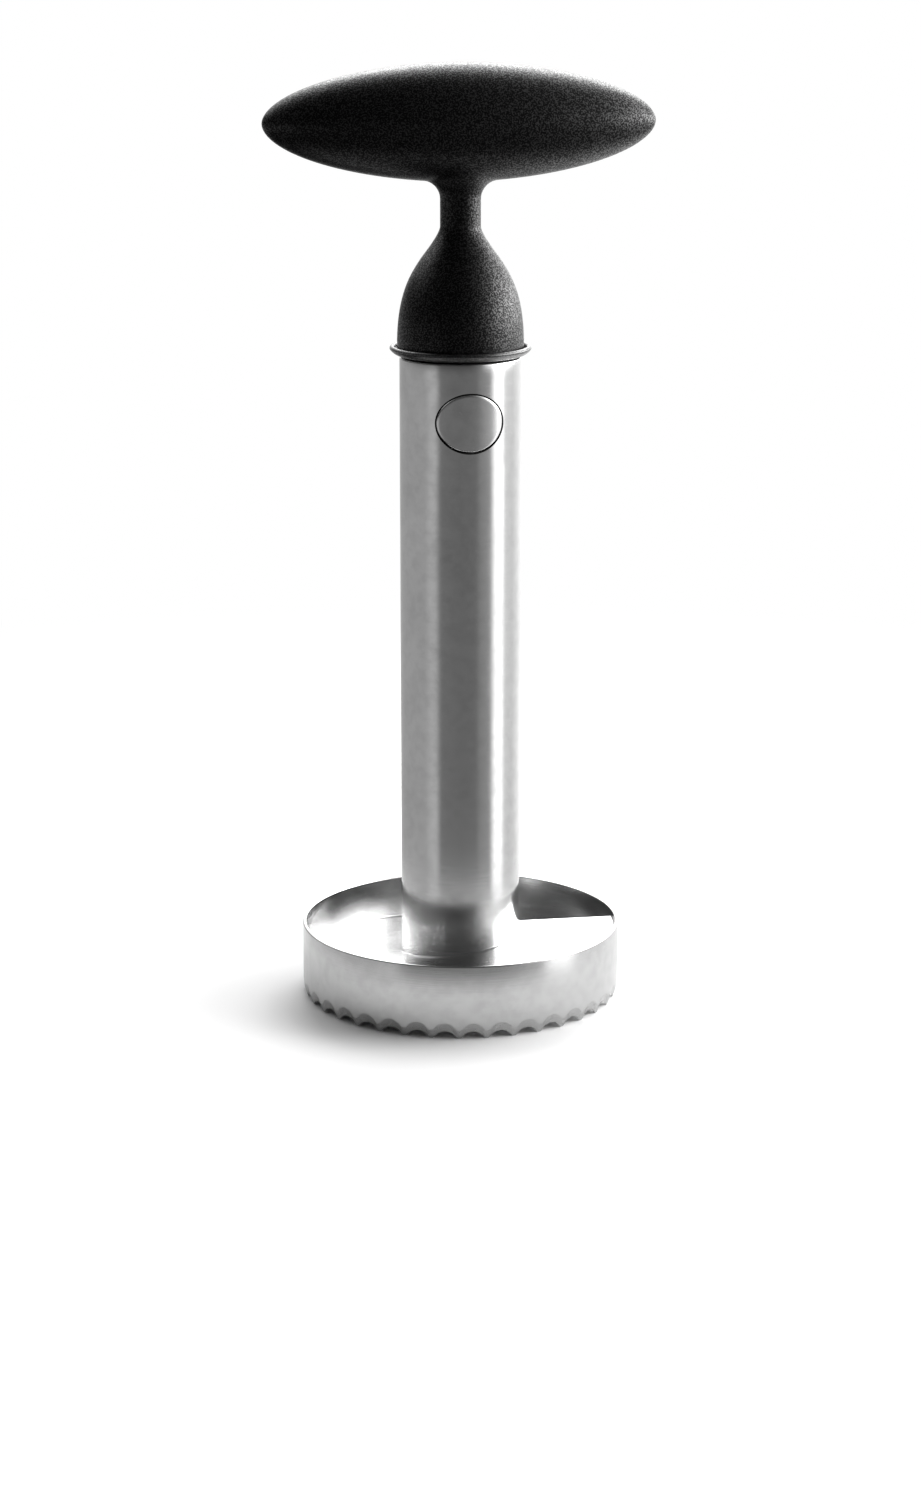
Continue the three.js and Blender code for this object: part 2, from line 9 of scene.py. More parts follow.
import bmesh
import bpy
import numpy as np
from bpy.props import FloatProperty, FloatVectorProperty, IntProperty, PointerProperty
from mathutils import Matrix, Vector


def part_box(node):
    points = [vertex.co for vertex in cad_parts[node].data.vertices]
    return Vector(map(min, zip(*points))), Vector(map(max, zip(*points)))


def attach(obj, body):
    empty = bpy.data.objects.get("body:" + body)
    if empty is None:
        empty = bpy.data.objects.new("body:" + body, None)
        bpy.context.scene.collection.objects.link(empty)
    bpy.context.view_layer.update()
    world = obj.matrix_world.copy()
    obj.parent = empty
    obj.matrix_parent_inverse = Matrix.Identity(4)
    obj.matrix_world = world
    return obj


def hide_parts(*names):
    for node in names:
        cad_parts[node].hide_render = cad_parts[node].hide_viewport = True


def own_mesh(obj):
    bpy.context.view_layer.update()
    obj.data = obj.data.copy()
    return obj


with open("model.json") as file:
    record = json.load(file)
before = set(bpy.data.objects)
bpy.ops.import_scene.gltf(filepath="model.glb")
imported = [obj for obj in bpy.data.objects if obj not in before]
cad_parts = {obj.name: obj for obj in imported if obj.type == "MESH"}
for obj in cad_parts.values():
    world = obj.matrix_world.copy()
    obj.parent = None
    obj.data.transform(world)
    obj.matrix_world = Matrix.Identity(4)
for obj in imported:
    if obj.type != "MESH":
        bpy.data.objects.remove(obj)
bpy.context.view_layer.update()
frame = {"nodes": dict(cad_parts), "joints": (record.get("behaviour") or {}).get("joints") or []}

bl_info = {
    "name": "Pineapple Slicer",
    "version": (1, 0, 0),
    "blender": (4, 5, 0),
    "location": "3D View > Sidebar > Slicer",
    "description": "Dresses the packed pineapple slicer in fine meshes and finishes",
    "category": "Object",
}

CREASE = math.radians(28)
MERGE = 1e-7
FACING = math.radians(-90)

tube_low, tube_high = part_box("core_tube")
ring_low, ring_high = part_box("cutting_ring")
blade_low, blade_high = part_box("spiral_blade")
grip_low, grip_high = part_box("grip_front_shell")
collar_low, collar_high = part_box("collar_ring")
button_low, button_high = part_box("button_cap")
spring_low, spring_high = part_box("button_spring")


# Properties


def length(name, description, default):
    return FloatProperty(
        name=name,
        description=description,
        default=default,
        min=0,
        unit="LENGTH",
        precision=5,
    )


def share(name, description, default):
    return FloatProperty(
        name=name,
        description=description,
        default=default,
        min=0,
        max=1,
        subtype="FACTOR",
    )


def angle(name, description, degrees):
    return FloatProperty(
        name=name,
        description=description,
        default=math.radians(degrees),
        subtype="ANGLE",
        unit="ROTATION",
    )


def plain(name, description, default):
    return FloatProperty(name=name, description=description, default=default)


def count(name, description, default):
    return IntProperty(name=name, description=description, default=default, min=1)


def colour(name, description, default):
    return FloatVectorProperty(
        name=name,
        description=description,
        default=default,
        min=0,
        max=1,
        size=3,
        subtype="COLOR",
    )


class SlicerHandleSizes(bpy.types.PropertyGroup):
    """Sizes of the T-handle's shells and collar"""

    grip_length: length("Grip length", "Tip to tip", grip_high.x - grip_low.x)
    grip_height: length("Grip height", "Thickness at the middle", 0.0303)
    grip_power: plain("Grip roundness", "Exponent of the grip's outline", 1.87)
    neck_radius: length("Neck radius", "Radius of the neck", 0.0053)
    neck_fillet: length("Neck fillet", "Run of the fillet under the grip", 0.0045)
    bell_radius: length("Bell radius", "Radius at the foot", -grip_low.y)
    bell_shoulder: length("Bell shoulder", "Height where the side bends in", collar_high.z)
    bell_top: length("Bell top", "Height where the bell meets the neck", 0.20745)
    foot_round: length("Foot rounding", "Radius of the bell's lower edge", 0.0004)
    wall: length("Shell wall", "Thickness of the moulded shells", 0.0022)
    seam: length("Parting line", "Depth and half width of the moulded seam", 0.0001)
    collar_floor: length("Collar floor", "Thickness of the dish's floor", 0.0013)
    collar_lip: length("Collar lip", "Radius of the dish at the tube", 0.0163)
    collar_hole: length("Collar hole", "Radius of the hole in the dish", 0.0123)
    collar_rim: length("Collar rim", "Thickness of the rounded rim", 0.0013)
    collar_step: length("Collar step", "Height of the dark joint on the tube", 0.0001)
    collar_step_inset: length("Collar step inset", "Depth of that joint", 0.0006)
    collar_bulge: length("Collar bulge", "How far the flared side bulges", 0.00022)


class SlicerSteelSizes(bpy.types.PropertyGroup):
    """Sizes of the steel tube, ring, blade and button"""

    tube_wall: length("Tube wall", "Thickness of the tube", 0.0008)
    tube_round: length("Rim rounding", "Radius of the tube's upper edge", 0.0005)
    tube_teeth: count("Tube teeth", "Notches in the tube's lower edge", 14)
    tube_chord: length("Tube notch width", "Chord of one notch", 0.0059)
    tube_depth: length("Tube notch depth", "Depth of one notch", 0.0018)
    ring_wall: length("Ring wall", "Thickness of the ring", 0.001)
    ring_teeth: count("Ring teeth", "Notches in the ring's lower edge", 36)
    ring_chord: length("Ring notch width", "Chord of one notch", 0.0062)
    ring_depth: length("Ring notch depth", "Depth of one notch", 0.0019)
    edge: length("Cutting edge", "Thickness of the ground edge", 0.0002)
    bevel: length("Ground bevel", "Height of the bevel above the edge", 0.002)
    pitch: length("Blade pitch", "Rise of the blade in one turn", 0.014)
    blade: length("Blade thickness", "Thickness of the spiral blade", 0.001)
    blade_bevel: angle("Blade bevel", "Turn taken by the ground bevel", 5.5)
    scallops: count("Blade scallops", "Notches in the blade's leading edge", 4)
    scallop_depth: length("Scallop depth", "Depth of a notch", 0.0015)
    scallop_land: length("Scallop land", "Width left between notches", 0.001)
    weld: length("Weld fillet", "Size of the weld along the blade", 0.0007)
    hole_gap: length("Button gap", "Mean gap between the button and the tube", 0.00032)
    hole_side: length("Hole side shift", "How far the hole lies right of the button", 0.00007)
    hole_drop: length("Hole drop", "How far the hole lies below the button", 0.00014)
    crown: length("Button crown", "Radius of the button's face", 0.0185)
    button_chamfer: length("Button chamfer", "Width of the chamfer", 0.00035)
    button_chamfer_drop: length("Button chamfer drop", "Depth of the chamfer", 0.0005)
    spring_wire: length("Spring wire", "Diameter of the button spring's wire", 0.0007)
    spring_turns: count("Spring turns", "Turns of the button spring", 7)


class SlicerFinishes(bpy.types.PropertyGroup):
    """Colours and roughness of the finishes"""

    steel: colour("Steel", "Colour of the satin steel", (0.62, 0.62, 0.62))
    steel_rough: share("Steel roughness", "Roughness of the satin steel", 0.17)
    button_steel: colour("Button steel", "Colour of the button", (0.68, 0.68, 0.68))
    button_rough: share("Button roughness", "Roughness of the button", 0.22)
    plastic: colour("Handle plastic", "Colour of the shells", (0.0015, 0.0015, 0.0016))
    plastic_rough: share("Handle roughness", "Roughness of the shells", 0.4)
    plastic_sheen: share("Handle sheen", "Shine of the shells", 0.08)
    plastic_glint: share("Handle glint", "Shine of the grain's high spots", 1.0)
    collar_sheen: share("Collar sheen", "Shine of the collar", 0.6)
    # painted shade: near black for the hole's wall and the button's side, so the gap round the button
    # reads dark
    shaded_gap: colour("Gap shade", "Colour of the cut round the button", (0.006, 0.006, 0.006))
    moulding: colour("Plug plastic", "Colour of the mouldings", (0.03, 0.03, 0.032))
    alloy: colour("Core alloy", "Colour of the cast core", (0.55, 0.55, 0.56))
    fastener: colour("Fastener steel", "Colour of screws", (0.45, 0.45, 0.46))


class SlicerStudio(bpy.types.PropertyGroup):
    """Camera, floor and lamps"""

    distance: length("Camera distance", "Level distance from the tube's axis", 0.85)
    height: length("Camera height", "Height of the lens", 0.28865)
    azimuth: angle("Camera azimuth", "Turn of the camera round the tube", -9.5)
    pitch: angle("Camera pitch", "Tilt of the camera below the horizon", 14.6)
    lens: plain("Lens", "Focal length in millimetres", 78.17)
    floor: colour("Floor", "Colour of the floor", (0.9, 0.9, 0.9))


# Shader maths


class Value:
    """A shader socket that can stand in a sum, a product or a power"""

    def __init__(self, shades, socket):
        self.shades = shades
        self.socket = socket

    def math(self, operation, *others, swapped=False):
        terms = [self, *others]
        if swapped:
            terms.reverse()
        sockets = dict(enumerate(terms))
        return self.shades.node("Math", {"operation": operation}, sockets)

    def __add__(self, other):
        return self.math("ADD", other)

    __radd__ = __add__

    def __sub__(self, other):
        return self.math("SUBTRACT", other)

    def __rsub__(self, other):
        return self.math("SUBTRACT", other, swapped=True)

    def __mul__(self, other):
        return self.math("MULTIPLY", other)

    __rmul__ = __mul__

    def __truediv__(self, other):
        return self.math("DIVIDE", other)

    def __pow__(self, other):
        return self.math("POWER", other)

    def clamped(self):
        return self.shades.node("Clamp", {}, {"Value": self})

    def step(self, start, end):
        """0 below start and 1 above end, with a smooth rise between them"""
        settings = {"interpolation_type": "SMOOTHSTEP"}
        sockets = {"Value": self, "From Min": start, "From Max": end}
        return self.shades.node("MapRange", settings, sockets)


class Shades:
    """Makes the nodes of one tree"""

    def __init__(self, tree):
        self.tree = tree
        tree.nodes.clear()

    def node(self, kind, settings, sockets, output=0):
        made = self.tree.nodes.new("ShaderNode" + kind)
        for name, value in settings.items():
            if name == "stops":
                self.fill(made.color_ramp, value)
            else:
                setattr(made, name, value)
        for name, value in sockets.items():
            if isinstance(value, Value):
                self.tree.links.new(value.socket, made.inputs[name])
            else:
                made.inputs[name].default_value = value
        return Value(self, made.outputs[output]) if made.outputs else None

    @staticmethod
    def fill(ramp, stops):
        for at, (place, level) in enumerate(stops):
            stop = ramp.elements[at] if at < 2 else ramp.elements.new(place)
            stop.position = place
            stop.color = (level, level, level, 1)

    def place(self):
        """The point on the piece, in metres"""
        return self.node("TexCoord", {}, {}, "Object")

    def axes(self, vector):
        split = self.node("SeparateXYZ", {}, {"Vector": vector})
        outputs = split.socket.node.outputs
        return [Value(self, socket) for socket in outputs]

    def joined(self, x, y, z):
        return self.node("CombineXYZ", {}, {"X": x, "Y": y, "Z": z})

    def noise(self, vector, scale, detail=2.0):
        sockets = {"Vector": vector, "Scale": scale, "Detail": detail}
        return self.node("TexNoise", {}, sockets)

    def blended(self, mask, first, second):
        """The first colour where mask is 0 and the second where it is 1"""
        sockets = {"Factor": mask, 6: (*first, 1), 7: (*second, 1)}
        return self.node("Mix", {"data_type": "RGBA"}, sockets, 2)

    def bump(self, height, distance, strength=1.0):
        sockets = {"Height": height, "Distance": distance, "Strength": strength}
        return self.node("Bump", {}, sockets)

    def finish(self, sockets):
        shader = self.node("BsdfPrincipled", {}, sockets)
        self.node("OutputMaterial", {}, {"Surface": shader})


def darker(tone, factor):
    return [factor * part for part in tone]


def new_finish(name):
    material = bpy.data.materials.new(name)
    material.use_nodes = True
    return material, Shades(material.node_tree)


def painted_shade_finish(name, tone, rough):
    """Painted shade for the gap round the button, near black on the hole's wall and the button's side,
    with marks across its thickness
    """
    material, shades = new_finish(name)
    x, y, z = shades.axes(shades.place())
    marks = shades.noise(shades.joined(x * 3000, y * 500, z * 3000), 1.0, 2.0)
    shades.finish(
        {
            "Base Color": shades.blended(marks, tone, darker(tone, 0.5)),
            "Roughness": rough + (marks - 0.5) * 0.2,
            "Normal": shades.bump(marks, 0.00001, 0.5),
        }
    )
    return material


def satin_steel(name, tone, rough, grain, streak=60.0):
    """Steel with fine brush lines across one direction, and faint handling marks.

    grain gives the number of brush lines in a metre along X, Y, Z and the radius."""
    material, shades = new_finish(name)
    place = shades.place()
    x, y, z = shades.axes(place)
    radius = (x * x + y * y) ** 0.5
    lines = shades.joined(
        x * (grain[0] + streak) + radius * grain[3],
        y * (grain[1] + streak),
        z * (grain[2] + streak),
    )
    brushed = shades.noise(lines, 1.0, 3.0)
    smudged = shades.noise(place, 55.0, 4.0).step(0.42, 0.68)
    cloudy = shades.noise(place, 300.0, 6.0)
    roughness = rough + (brushed - 0.5) * 0.12 + smudged * 0.04 + (cloudy - 0.5) * 0.1
    worn = (smudged * 0.4 + cloudy.step(0.35, 0.7) * 0.6).clamped()
    shades.finish(
        {
            "Base Color": shades.blended(worn, darker(tone, 1.04), darker(tone, 0.9)),
            "Metallic": 1.0,
            "Roughness": roughness,
            "Normal": shades.bump(brushed, 0.000005, 0.8),
        }
    )
    return material


def ground_steel(name, tone, rough):
    """Bright ground bevel with grinding marks that run up from the edge"""
    material, shades = new_finish(name)
    x, y, z = shades.axes(shades.place())
    marks = shades.noise(shades.joined(x * 7000, y * 7000, z * 250), 1.0, 2.0)
    shades.finish(
        {
            "Base Color": shades.blended(marks, tone, darker(tone, 0.9)),
            "Metallic": 1.0,
            "Roughness": rough + (marks - 0.5) * 0.2,
            "Normal": shades.bump(marks, 0.000006, 0.8),
        }
    )
    return material


def grained_plastic(name, tone, rough, sheen, glint, grain=2600.0, depth=0.00005):
    """Black plastic with an eroded mould's fine grain, whose high spots glint

    sheen is the shine of all of it, and glint the shine of a coat on the high spots."""
    material, shades = new_finish(name)
    place = shades.place()
    fine = shades.noise(place, grain, 2.0)
    rubbed = shades.noise(place, 45.0, 3.0).step(0.4, 0.7)
    high = fine.step(0.47, 0.6)
    shades.finish(
        {
            "Base Color": shades.blended(high, tone, darker(tone, 1.4)),
            "Roughness": rough + (fine - 0.5) * 0.2 - rubbed * 0.04,
            "Specular IOR Level": sheen,
            "Coat Weight": (high * glint * (1 + rubbed * 0.2)).clamped(),
            "Coat Roughness": rough,
            "Normal": shades.bump(fine, depth, 1.0),
        }
    )
    return material


def moulded_plastic(name, tone, rough):
    """Dark grey moulding with faint flow marks"""
    material, shades = new_finish(name)
    place = shades.place()
    flow = shades.noise(place, 120.0, 4.0)
    skin = shades.noise(place, 1500.0, 2.0)
    shades.finish(
        {
            "Base Color": shades.blended(flow, tone, darker(tone, 1.4)),
            "Roughness": rough + (flow - 0.5) * 0.15,
            "Normal": shades.bump(skin, 0.00002, 0.5),
        }
    )
    return material


def cast_metal(name, tone, rough):
    """Die-cast alloy with a dull, slightly pitted skin"""
    material, shades = new_finish(name)
    place = shades.place()
    skin = shades.noise(place, 900.0, 5.0)
    cloudy = shades.noise(place, 90.0, 3.0)
    shades.finish(
        {
            "Base Color": shades.blended(cloudy, tone, darker(tone, 0.8)),
            "Metallic": 1.0,
            "Roughness": rough + (cloudy - 0.5) * 0.2,
            "Normal": shades.bump(skin, 0.00004, 0.6),
        }
    )
    return material


# Mesh code


def grid(indices, wrap_rows=False, wrap_columns=False):
    """Quads over an array of vertex numbers"""
    a = indices
    if wrap_rows:
        a = np.vstack([a, a[:1]])
    if wrap_columns:
        a = np.hstack([a, a[:, :1]])
    quads = np.stack([a[:-1, :-1], a[:-1, 1:], a[1:, 1:], a[1:, :-1]], axis=-1)
    return quads.reshape(-1, 4)


def numbered(shape, start=0):
    return np.arange(start, start + int(np.prod(shape))).reshape(shape)


def add_piece(name, points, faces, finishes, body, nodes, marked=None):
    """A closed mesh that rides on a body and stands for CAD nodes

    marked holds the place of each face's finish among the finishes."""
    mesh = bpy.data.meshes.new(name)
    made = bmesh.new()
    corners = [made.verts.new(point) for point in np.asarray(points, float).tolist()]
    for at, face in enumerate(np.asarray(faces).tolist()):
        quad = made.faces.new([corners[number] for number in face])
        if marked is not None:
            quad.material_index = int(marked[at])
    bmesh.ops.remove_doubles(made, verts=made.verts, dist=MERGE)
    bmesh.ops.recalc_face_normals(made, faces=made.faces)
    open_edges = sum(1 for edge in made.edges if len(edge.link_faces) != 2)
    for face in made.faces:
        face.smooth = True
    for edge in made.edges:
        kinds = {face.material_index for face in edge.link_faces}
        edge.smooth = len(kinds) == 1 and edge.calc_face_angle(math.pi) < CREASE
    made.to_mesh(mesh)
    made.free()
    if open_edges:
        raise RuntimeError(f"{name} has {open_edges} edges that don't join two faces")
    for finish in finishes:
        mesh.materials.append(finish)
    piece = bpy.data.objects.new(name, mesh)
    bpy.context.scene.collection.objects.link(piece)
    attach(piece, body)
    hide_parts(*nodes)
    return piece


def turned(profile, sides):
    """Points and faces of a closed outline turned round Z"""
    profile = np.asarray(profile)
    turns = np.arange(sides) * 2 * np.pi / sides
    radius, height = profile[:, :1], profile[:, 1:]
    points = np.stack(
        [
            radius * np.cos(turns),
            radius * np.sin(turns),
            np.broadcast_to(height, (len(profile), sides)),
        ],
        axis=-1,
    )
    faces = grid(numbered(points.shape[:2]), wrap_rows=True, wrap_columns=True)
    return points.reshape(-1, 3), faces


def arc(centre, radius, start, end, steps):
    turns = np.linspace(start, end, steps + 1)
    return np.stack(
        [centre[0] + radius * np.cos(turns), centre[1] + radius * np.sin(turns)],
        axis=-1,
    )


def bezier(controls, steps):
    t = np.linspace(0, 1, steps + 1)[:, None]
    a, b, c, d = (np.asarray(control, float) for control in controls)
    lower = (1 - t) ** 3 * a + 3 * (1 - t) ** 2 * t * b
    return lower + 3 * (1 - t) * t**2 * c + t**3 * d


def notch(offset, chord, depth):
    """Height of a round notch above its lands, at a distance from its middle"""
    curve = (chord**2 / 4 + depth**2) / (2 * depth)
    inside = np.abs(offset) < chord / 2
    rise = np.sqrt(curve**2 - np.where(inside, offset, 0) ** 2) - curve + depth
    return np.where(inside, rise, 0)


def toothed_edge(turns, teeth, chord, depth, radius):
    """Height of a row of notches at each angle round an edge"""
    tooth = 2 * np.pi / teeth
    offset = (np.mod(turns / tooth, 1) - 0.5) * tooth * radius
    return notch(offset, chord, depth)


# Handle

BELL_LOWER = [[1, 0], [1, 0.44], [0.665, 0.604], [0.475, 0.713]]
BELL_UPPER = [[0.475, 0.713], [0.394, 0.76], [0, 0.929], [0, 1]]
BELL_STEPS = 24
FOOT_STEPS = 4
NECK_STEPS = 4
FILLET_STEPS = 14
FILLET_ROUND = 0.55
UNDER_STEPS = 30
OVER_STEPS = 28
SHELL_COLUMNS = 84
COLLAR_SIDES = 192
COLLAR_ROLL_STEPS = 26
COLLAR_FLARE_STEPS = 10
COLLAR_FLOOR_STEPS = 4


def bar_radius(size, along, inset):
    part = np.minimum(np.abs(along) / (size.grip_length / 2 - inset), 1)
    thick = size.grip_height / 2 - inset
    return thick * (1 - part**size.grip_power) ** (1 / size.grip_power)


def seam_columns(width, seam):
    """Angles from one seam to the other for a ring of some half width, with one just beside each seam"""
    even = np.linspace(0, np.pi, SHELL_COLUMNS + 1)
    beside = min(math.asin(min(seam / width, 1)), even[1] / 2)
    return np.concatenate([[0, beside], even[1:-1], [np.pi - beside, np.pi]])


def shell_skin(size, inset, side, seam):
    """Points of a half shell's skin, from the bell's foot up round the bar and over to its ridge.

    Rows run up the piece and columns round it, from the seam at +X to the seam at -X."""
    centre = grip_high.z - size.grip_height / 2
    foot = grip_low.z
    neck = size.neck_radius - inset
    bell = size.bell_radius - inset
    out = size.neck_radius + size.neck_fillet
    fillet = out - neck
    power = 2 / size.grip_power
    edge = 0 if inset else size.foot_round
    rows = []

    def level(radius, height):
        turns = seam_columns(radius, seam)
        rows.append([radius * np.cos(turns), radius * np.sin(turns), 0 * turns + height])

    for radius, height in arc((bell - edge, foot + edge), edge, -np.pi / 2, 0, FOOT_STEPS):
        level(radius, height)
    rise = size.bell_top - size.bell_shoulder
    for shares in (BELL_LOWER, BELL_UPPER):
        controls = [
            (neck + (bell - neck) * wide, size.bell_shoulder + rise * up)
            for wide, up in shares
        ]
        for radius, height in bezier(controls, BELL_STEPS)[:-1]:
            level(radius, height)

    def under(x, y):
        return centre - np.sqrt(np.maximum(bar_radius(size, x, inset) ** 2 - y**2, 0))

    turns = seam_columns(neck, seam)
    cos, sin = np.cos(turns), np.sin(turns)
    top = under(out * cos, out * sin)
    corner = under(neck * cos, neck * sin)
    start = corner - fillet
    near = [start + (corner - start) * FILLET_ROUND, top + (corner - top) * FILLET_ROUND]
    bend = [neck, neck, out + (neck - out) * FILLET_ROUND, out]
    for step in range(NECK_STEPS):
        part = step / NECK_STEPS
        rows.append([neck * cos, neck * sin, size.bell_top + (start - size.bell_top) * part])
    for t in np.linspace(0, 1, FILLET_STEPS + 1)[:-1]:
        weights = [(1 - t) ** 3, 3 * (1 - t) ** 2 * t, 3 * (1 - t) * t**2, t**3]
        radius = sum(weight * at for weight, at in zip(weights, bend))
        height = sum(weight * at for weight, at in zip(weights, [start, *near, top]))
        rows.append([radius * cos, radius * sin, height])
    half = size.grip_length / 2 - inset
    thick = size.grip_height / 2 - inset
    for part in np.sin(np.linspace(0, np.pi / 2, UNDER_STEPS + 1)):
        turns = seam_columns(out + (thick - out) * part, seam)
        cos, sin = np.cos(turns), np.sin(turns)
        x = out * cos + (half * np.sign(cos) * np.abs(cos) ** power - out * cos) * part
        y = out * sin + (thick * np.abs(sin) ** power - out * sin) * part
        rows.append([x, y, under(x, y)])
    x, reach = rows[-1][0], rows[-1][1]
    for step in range(1, OVER_STEPS + 1):
        turn = np.pi / 2 * step / OVER_STEPS
        if step == OVER_STEPS:
            beside = np.minimum(seam / np.maximum(reach, seam), turn / OVER_STEPS / 2)
            turns = turn - beside
            rows.append([x, reach * np.cos(turns), centre + reach * np.sin(turns)])
        rows.append([x, reach * np.cos(turn), centre + reach * np.sin(turn)])
    points = np.array(rows).transpose(0, 2, 1)
    points[:, [0, -1], 1] = 0
    points[-1, :, 1] = 0
    points[..., 1] *= side
    return points


def grip_shell(name, node, side, finish):
    size = bpy.context.scene.slicer_handle
    outer = shell_skin(size, 0, side, size.seam)
    inner = shell_skin(size, size.wall, side, size.seam)
    border = np.zeros(outer.shape[:2], bool)
    border[:, [0, -1]] = True
    border[-1] = True
    dent = size.seam / size.wall
    outer[border] += (inner[border] - outer[border]) * dent
    numbers = numbered(outer.shape[:2])
    behind = numbers + numbers.size
    path = np.concatenate([numbers[:, 0], numbers[-1, 1:], numbers[::-1, -1][1:]])
    path_behind = path + numbers.size
    foot = np.stack([numbers[0], behind[0]])
    faces = np.vstack(
        [
            grid(numbers),
            grid(behind),
            grid(np.stack([path, path_behind])),
            grid(foot),
        ]
    )
    points = np.vstack([outer.reshape(-1, 3), inner.reshape(-1, 3)])
    return add_piece(name, points, faces, [finish], "handle", [node])


def collar(finish):
    size = bpy.context.scene.slicer_handle
    low, high = collar_low.z, collar_high.z
    edge = size.foot_round
    round_ = size.collar_rim / 2
    rim = (collar_high.x - round_, high - round_)
    floor = low + size.collar_floor
    inner = rim[0] - round_
    lip = size.collar_lip
    step = lip - size.collar_step_inset
    foot = low + size.collar_step
    roll = arc(rim, round_, -np.pi / 6, np.pi, COLLAR_ROLL_STEPS)
    start, end = np.array([lip, foot]), roll[0]
    along = (end - start) / np.linalg.norm(end - start)
    middle = (start + end) / 2 + np.array([along[1], -along[0]]) * 2 * size.collar_bulge
    near, far = (point + (middle - point) * 2 / 3 for point in (start, end))
    profile = np.vstack(
        [
            [[size.collar_hole, low], [step, low], [step, foot]],
            bezier([start, near, far, end], COLLAR_FLARE_STEPS)[:-1],
            roll,
            arc((inner - edge, floor + edge), edge, 0, -np.pi / 2, COLLAR_FLOOR_STEPS),
            [[size.collar_hole, floor]],
        ]
    )
    points, faces = turned(profile, COLLAR_SIDES)
    return add_piece(
        "collar_dish", points, faces, [finish], "handle", ["collar_ring"]
    )


# Steel

TUBE_COLUMNS = 224
PATCH_COLUMNS = TUBE_COLUMNS // 4
PATCH_ROWS = 26
PATCH_REACH = 0.012
RIM_STEPS = 5
RING_COLUMNS = 576
RING_BEVEL = 1.25
RING_ROUND = 0.35
RING_WAIST = 0.4
HOLE_SPREAD = [0.0, 0.22, 0.42, 0.6, 0.75, 0.87, 0.95]


def bent(turns, radius, height):
    """Points on a cylinder, with turn 0 at the front"""
    x, y = radius * np.sin(turns), -radius * np.cos(turns)
    return np.stack(np.broadcast_arrays(x, y, height), axis=-1)


def steel_tube(steel, ground, gap_shade):
    """Tube with a rounded rim, a toothed lower edge and an oval hole for the button"""
    size = bpy.context.scene.slicer_steel
    outer = tube_high.x
    inner = outer - size.tube_wall
    low, high = tube_low.z, tube_high.z
    middle = (button_low.z + button_high.z) / 2
    step = 2 * np.pi / TUBE_COLUMNS
    turns = (np.arange(TUBE_COLUMNS) - PATCH_COLUMNS / 2) * step
    edge = low + toothed_edge(
        turns + FACING, size.tube_teeth, size.tube_chord, size.tube_depth, outer
    )
    band = np.linspace(middle - PATCH_REACH, middle + PATCH_REACH, PATCH_ROWS + 1)
    rim = arc(
        (outer - size.tube_round, high - size.tube_round),
        size.tube_round,
        0,
        np.pi / 2,
        RIM_STEPS,
    )
    burr = size.edge / 2
    rows = [(inner + size.edge, edge), (outer, edge + size.bevel)]
    rows += [(outer, height) for height in band]
    rows += [(radius, height) for radius, height in rim]
    rows += [(inner + burr, high), (inner, high - burr)]
    rows += [(inner, height) for height in band[::-1]]
    rows += [(inner, edge + size.bevel), (inner, edge)]
    points = np.array([bent(turns, radius, height) for radius, height in rows])
    numbers = numbered(points.shape[:2])
    first = 2
    last = first + PATCH_ROWS
    back_first = last + len(rim) + 3
    back_last = back_first + PATCH_ROWS
    quads = grid(numbers, wrap_rows=True, wrap_columns=True)
    at_row = np.repeat(np.arange(len(rows)), TUBE_COLUMNS)
    at_column = np.tile(np.arange(TUBE_COLUMNS), len(rows))
    in_band = (at_row >= first) & (at_row < last)
    in_band |= (at_row >= back_first) & (at_row < back_last)
    keep = ~(in_band & (at_column < PATCH_COLUMNS))
    marked = at_row[keep] == 0

    def border(low_row, high_row):
        """Vertex numbers round the patch, from one lower corner and back to it"""
        right = PATCH_COLUMNS
        way = 1 if high_row > low_row else -1
        rise = range(low_row, high_row, way)
        fall = range(high_row, low_row, -way)
        loop = [numbers[low_row, column] for column in range(right)]
        loop += [numbers[row, right] for row in rise]
        loop += [numbers[high_row, column] for column in range(right, 0, -1)]
        return np.array(loop + [numbers[row, 0] for row in fall])

    front = border(first, last)
    back = border(back_last, back_first)
    flat = points.reshape(-1, 3)
    turn_at = np.arctan2(flat[front, 0], -flat[front, 1])
    height_at = flat[front, 2]
    reach = step * PATCH_COLUMNS / 2
    way = np.arctan2((height_at - middle) / PATCH_REACH, turn_at / reach)
    wide = (button_high.x - button_low.x) / 2 + size.hole_gap
    tall = (button_high.z - button_low.z) / 2 + size.hole_gap

    def oval(radius, extra):
        x = size.hole_side + (wide + extra) * np.cos(way)
        height = middle - size.hole_drop + (tall + extra) * np.sin(way)
        return np.arcsin(x / radius), height

    def spread(radius, extra, part):
        turn, height = oval(radius, extra)
        return bent(
            turn_at + (turn - turn_at) * part,
            radius,
            height_at + (height - height_at) * part,
        )

    loops = [spread(outer, burr, part) for part in HOLE_SPREAD[1:]]
    loops.append(spread(outer, burr, 1))
    loops.append(spread(outer - burr, 0, 1))
    loops.append(spread(inner + burr, 0, 1))
    loops.append(spread(inner, burr, 1))
    loops += [spread(inner, burr, part) for part in HOLE_SPREAD[:0:-1]]
    extra = numbered((len(loops), len(front)), len(flat))
    patch = grid(np.vstack([front, extra, back]), wrap_columns=True)
    flat = np.vstack([flat, np.array(loops).reshape(-1, 3)])
    faces = np.vstack([quads[keep], patch])
    loop_at = np.repeat(np.arange(len(loops) + 1), len(front))
    lip = len(HOLE_SPREAD)
    # the hole's wall takes the painted gap shade
    at_wall = (loop_at >= lip) & (loop_at < lip + 3)
    marked = np.concatenate([marked, np.where(at_wall, 2, 0)])
    return add_piece(
        "steel_tube",
        flat,
        faces,
        [steel, ground, gap_shade],
        "cutter",
        ["core_tube"],
        marked,
    )


